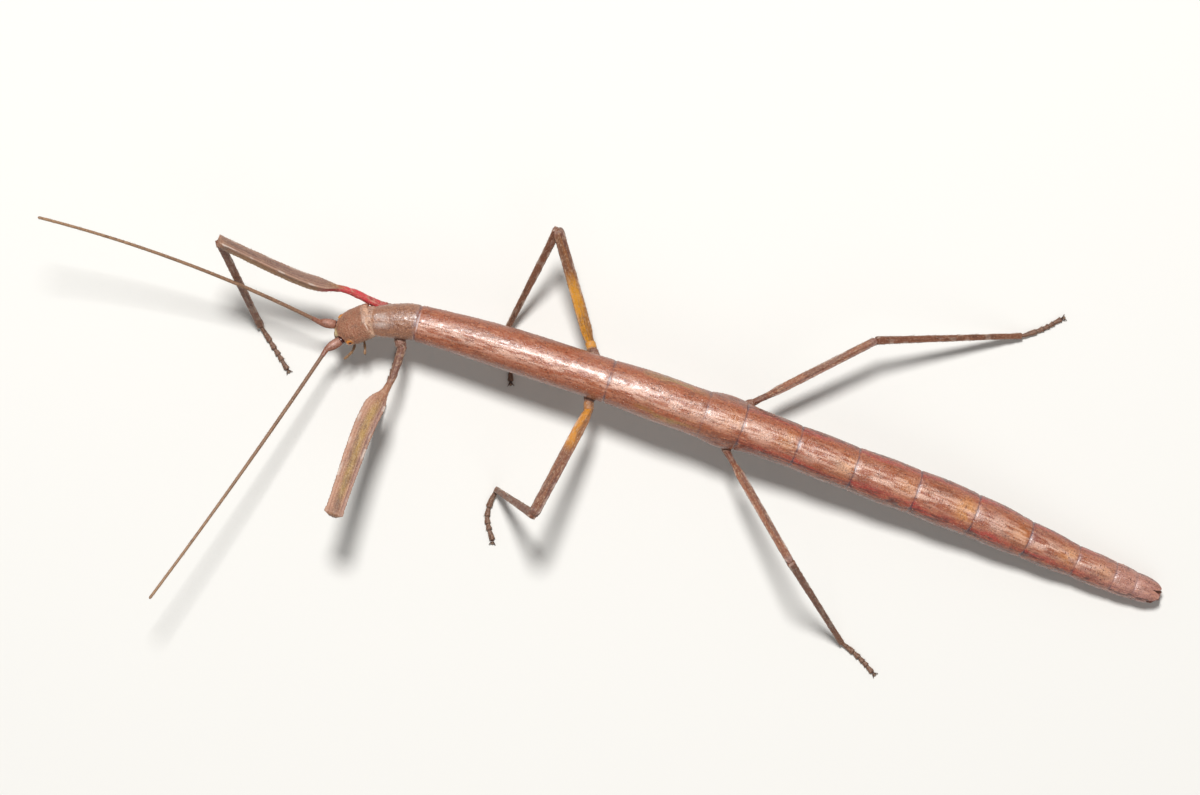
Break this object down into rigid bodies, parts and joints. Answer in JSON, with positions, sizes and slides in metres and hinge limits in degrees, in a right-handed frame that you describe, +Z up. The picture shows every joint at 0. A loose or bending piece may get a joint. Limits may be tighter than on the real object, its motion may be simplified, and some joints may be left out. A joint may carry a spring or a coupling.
{
  "type": "stick insect",
  "caption": "Life-size still model of a brown wingless stick insect, standing with its head turned and its two long antennae spread.",
  "frame": {"origin": "middle of the bounding box's bottom face, on the ground that the six feet stand on", "axes": "-X towards the head, +X along the abdomen to the rear end, -Y the animal's left side, +Z up through its back"},
  "size_m": [0.1194, 0.0582, 0.017],
  "materials": {
    "trunk_cuticle": "satin copper-brown cuticle with fine granules and lengthwise wrinkles",
    "head_cuticle": "dull grey-brown granular cuticle",
    "leg_cuticle": "dull brown cuticle, orange or pink at the bases",
    "feeler_cuticle": "dull brown cuticle that pales to beige",
    "eye": "glossy amber with a dark middle",
    "mouth_cuticle": "smooth ochre cuticle"
  },
  "bodies": {
    "root": {"abdomen_1": "trunk_cuticle", "abdomen_10": "trunk_cuticle", "abdomen_2": "trunk_cuticle", "abdomen_3": "trunk_cuticle", "abdomen_4": "trunk_cuticle", "abdomen_5": "trunk_cuticle", "abdomen_6": "trunk_cuticle", "abdomen_7": "trunk_cuticle", "abdomen_8": "trunk_cuticle", "abdomen_9": "trunk_cuticle", "antenna_left_flagellum": "feeler_cuticle", "antenna_left_pedicel": "head_cuticle", "antenna_left_scape": "head_cuticle", "antenna_right_flagellum": "feeler_cuticle", "antenna_right_pedicel": "head_cuticle", "antenna_right_scape": "head_cuticle", "cercus_left": "trunk_cuticle", "cercus_right": "trunk_cuticle", "eye_left": "eye", "eye_right": "eye", "fore_left_coxa": "leg_cuticle", "fore_left_femur": "leg_cuticle", "fore_left_tarsus": "leg_cuticle", "fore_left_tibia": "leg_cuticle", "fore_right_coxa": "leg_cuticle", "fore_right_femur": "leg_cuticle", "fore_right_tarsus": "leg_cuticle", "fore_right_tibia": "leg_cuticle", "head": "head_cuticle", "hind_left_coxa": "leg_cuticle", "hind_left_femur": "leg_cuticle", "hind_left_tarsus": "leg_cuticle", "hind_left_tibia": "leg_cuticle", "hind_right_coxa": "leg_cuticle", "hind_right_femur": "leg_cuticle", "hind_right_tarsus": "leg_cuticle", "hind_right_tibia": "leg_cuticle", "labial_palp_left": "mouth_cuticle", "labial_palp_right": "mouth_cuticle", "maxillary_palp_left": "mouth_cuticle", "maxillary_palp_right": "mouth_cuticle", "mesothorax": "trunk_cuticle", "metathorax": "trunk_cuticle", "mid_left_coxa": "leg_cuticle", "mid_left_femur": "leg_cuticle", "mid_left_tarsus": "leg_cuticle", "mid_left_tibia": "leg_cuticle", "mid_right_coxa": "leg_cuticle", "mid_right_femur": "leg_cuticle", "mid_right_tarsus": "leg_cuticle", "mid_right_tibia": "leg_cuticle", "mouthparts": "mouth_cuticle", "neck": "head_cuticle", "operculum": "trunk_cuticle", "prothorax": "trunk_cuticle"}
  },
  "joints": []
}
